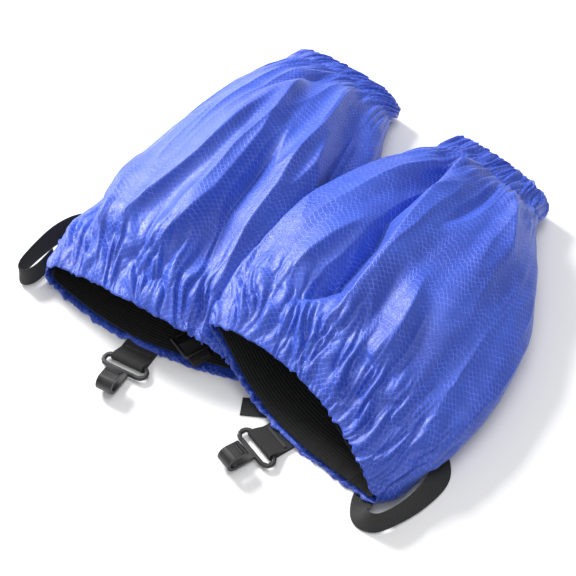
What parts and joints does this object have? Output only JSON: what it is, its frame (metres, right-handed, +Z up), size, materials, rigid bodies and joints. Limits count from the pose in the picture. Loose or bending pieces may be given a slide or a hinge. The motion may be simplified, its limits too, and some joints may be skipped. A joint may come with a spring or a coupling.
{
  "type": "pair of gaiters",
  "caption": "Pair of short slip-on leg gaiters: gathered ripstop tubes with elastic hems, a lace hook on a webbing loop and an instep strap with a tri-glide.",
  "frame": {"origin": "on the surface the pair lies on, under the middle of its box without the ground shift", "axes": "+Z up from the surface, +Y along the tubes from the mouths to the narrow tops, +X from the left gaiter to the right one"},
  "size_m": [0.35, 0.3415, 0.0608],
  "materials": {
    "shell_fabric": "semi-gloss coated ripstop weave",
    "elastic": "matte ribbed woven elastic",
    "webbing": "matte ribbed webbing",
    "thread": "polyester sewing thread",
    "moulded_plastic": "satin moulded"
  },
  "bodies": {
    "gaiters": {"left_shell": "shell_fabric", "left_top_casing": "shell_fabric", "left_top_elastic": "elastic", "left_bottom_elastic": "elastic", "left_hook_webbing": "webbing", "left_hook_webbing_tack": "thread", "left_instep_strap": "webbing", "left_strap_tack": "thread", "left_glide_tab": "webbing", "left_glide_tab_tack": "thread", "right_shell": "shell_fabric", "right_top_casing": "shell_fabric", "right_top_elastic": "elastic", "right_bottom_elastic": "elastic", "right_hook_webbing": "webbing", "right_hook_webbing_tack": "thread", "right_instep_strap": "webbing", "right_strap_tack": "thread", "right_glide_tab": "webbing", "right_glide_tab_tack": "thread"},
    "left_hook": {"left_lace_hook": "moulded_plastic"},
    "right_hook": {"right_lace_hook": "moulded_plastic"},
    "left_glide": {"left_tri_glide": "moulded_plastic"},
    "right_glide": {"right_tri_glide": "moulded_plastic"}
  },
  "joints": [
    {"name": "left_hook_swing", "type": "hinge", "parent": "gaiters", "child": "left_hook", "pos_m": [-0.0574, -0.13825, 0.0034], "axis": [-0.9925, -0.1219, 0], "range_deg": [-75, 80]},
    {"name": "right_hook_swing", "type": "hinge", "parent": "gaiters", "child": "right_hook", "pos_m": [0.0586, -0.13825, 0.0034], "axis": [-0.9511, 0.309, 0], "range_deg": [-75, 80]},
    {"name": "left_glide_tilt", "type": "hinge", "parent": "gaiters", "child": "left_glide", "pos_m": [-0.0304, -0.10425, 0.0094], "axis": [-0.3256, -0.9455, 0], "range_deg": [0, 14]},
    {"name": "right_glide_tilt", "type": "hinge", "parent": "gaiters", "child": "right_glide", "pos_m": [0.0238, -0.09025, 0.0035], "axis": [0.9816, -0.1908, 0], "range_deg": [0, 5]}
  ]
}
